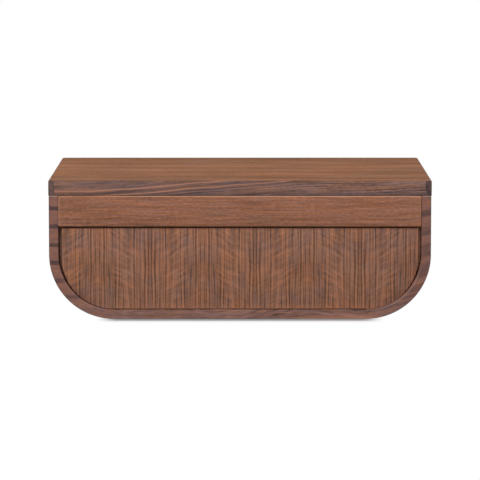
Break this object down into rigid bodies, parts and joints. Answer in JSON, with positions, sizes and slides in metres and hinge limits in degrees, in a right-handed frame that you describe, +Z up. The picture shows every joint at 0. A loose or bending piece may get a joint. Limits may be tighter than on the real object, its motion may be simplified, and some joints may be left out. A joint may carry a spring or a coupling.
{
  "type": "floating nightstand",
  "caption": "Wall-hung walnut bedside cabinet with round lower corners, a set-back veneered front and one push-to-open drawer on telescopic slides.",
  "frame": {"origin": "middle of the wall cleat's back face, on the wall plane", "axes": "+Y into the wall, -Y out of the drawer's front, +X to the right seen from the room, +Z up"},
  "size_m": [0.61, 0.406, 0.222],
  "materials": {
    "top_walnut": "walnut veneer, satin lacquer",
    "lipping_walnut": "solid walnut, satin lacquer",
    "edging_walnut": "solid walnut, satin lacquer",
    "rail_walnut": "solid walnut, satin lacquer",
    "panel_walnut": "book-matched walnut veneer, satin lacquer",
    "case_walnut": "walnut veneer, satin lacquer",
    "birch": "birch plywood, clear lacquer",
    "beech": "beech dowel, bare",
    "zinc_steel": "zinc plated",
    "grey_plastic": "moulded grey plastic"
  },
  "bodies": {
    "case": {"top_panel": "top_walnut", "top_front_lipping": "lipping_walnut", "top_left_lipping": "lipping_walnut", "top_right_lipping": "lipping_walnut", "bottom_board": "case_walnut", "left_side_board": "case_walnut", "left_bend": "case_walnut", "right_side_board": "case_walnut", "right_bend": "case_walnut", "bottom_front_edging": "edging_walnut", "left_front_edging": "edging_walnut", "left_bend_edging": "edging_walnut", "right_front_edging": "edging_walnut", "right_bend_edging": "edging_walnut", "back_panel": "case_walnut", "case_cleat": "birch", "wall_cleat": "birch", "cleat_screw_1": "zinc_steel", "cleat_screw_2": "zinc_steel", "cleat_screw_3": "zinc_steel", "cleat_screw_4": "zinc_steel", "left_top_dowel_1": "beech", "left_top_dowel_2": "beech", "left_top_dowel_3": "beech", "right_top_dowel_1": "beech", "right_top_dowel_2": "beech", "right_top_dowel_3": "beech", "left_slide_cabinet_member": "zinc_steel", "right_slide_cabinet_member": "zinc_steel", "left_push_catch": "grey_plastic", "right_push_catch": "grey_plastic", "left_case_screw_front": "zinc_steel", "left_case_screw_back": "zinc_steel", "right_case_screw_front": "zinc_steel", "right_case_screw_back": "zinc_steel"},
    "left_middle_slide": {"left_slide_middle_member": "zinc_steel"},
    "right_middle_slide": {"right_slide_middle_member": "zinc_steel"},
    "drawer": {"left_slide_drawer_member": "zinc_steel", "right_slide_drawer_member": "zinc_steel", "drawer_rail": "rail_walnut", "drawer_panel": "panel_walnut", "drawer_front_board": "case_walnut", "drawer_left_side": "birch", "drawer_right_side": "birch", "drawer_box_front": "birch", "drawer_box_back": "birch", "drawer_bottom": "birch", "left_drawer_screw_front": "zinc_steel", "left_drawer_screw_back": "zinc_steel", "right_drawer_screw_front": "zinc_steel", "right_drawer_screw_back": "zinc_steel", "front_screw_left_upper": "zinc_steel", "front_screw_left_lower": "zinc_steel", "front_screw_right_upper": "zinc_steel", "front_screw_right_lower": "zinc_steel"}
  },
  "joints": [
    {"name": "drawer_slide", "type": "slide", "parent": "case", "child": "drawer", "axis": [0, -1, 0], "range_m": [-0.003, 0.3]},
    {"name": "left_middle_slide_run", "type": "slide", "parent": "case", "child": "left_middle_slide", "axis": [0, -1, 0], "range_m": [-0.0015, 0.15]},
    {"name": "right_middle_slide_run", "type": "slide", "parent": "case", "child": "right_middle_slide", "axis": [0, -1, 0], "range_m": [-0.0015, 0.15]}
  ],
  "couplings": [
    {"joint": "left_middle_slide_run", "follows": "drawer_slide", "ratio": 0.5},
    {"joint": "right_middle_slide_run", "follows": "drawer_slide", "ratio": 0.5}
  ]
}
